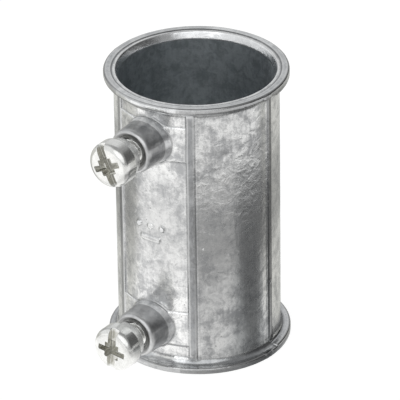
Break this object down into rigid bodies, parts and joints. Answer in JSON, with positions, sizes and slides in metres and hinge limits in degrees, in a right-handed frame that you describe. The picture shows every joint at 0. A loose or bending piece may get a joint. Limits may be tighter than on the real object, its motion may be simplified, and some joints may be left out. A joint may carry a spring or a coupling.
{
  "type": "set-screw conduit coupling",
  "caption": "Straight die-cast coupling that joins two lengths of thin-wall metal conduit, each held by a set screw standing in a boss on one side.",
  "frame": {"origin": "on the conduit axis at mid length, in the centre of the stop ring", "axes": "+Z along the conduit axis towards the upper mouth, -Y out through the screw bosses, +X to the right when facing the screws"},
  "size_m": [0.0286, 0.0373, 0.046],
  "materials": {
    "cast_zinc": "as-cast zinc alloy, satin with faint mottling",
    "plated_steel": "bright zinc plating, half gloss"
  },
  "bodies": {
    "body": {"coupling_body": "cast_zinc"},
    "upper_screw": {"upper_set_screw": "plated_steel"},
    "lower_screw": {"lower_set_screw": "plated_steel"}
  },
  "joints": [
    {"name": "upper_screw_travel", "type": "slide", "parent": "body", "child": "upper_screw", "axis": [0, 1, 0], "range_m": [-0.00317, 0.00127]},
    {"name": "lower_screw_travel", "type": "slide", "parent": "body", "child": "lower_screw", "axis": [0, 1, 0], "range_m": [-0.00317, 0.00127]}
  ]
}
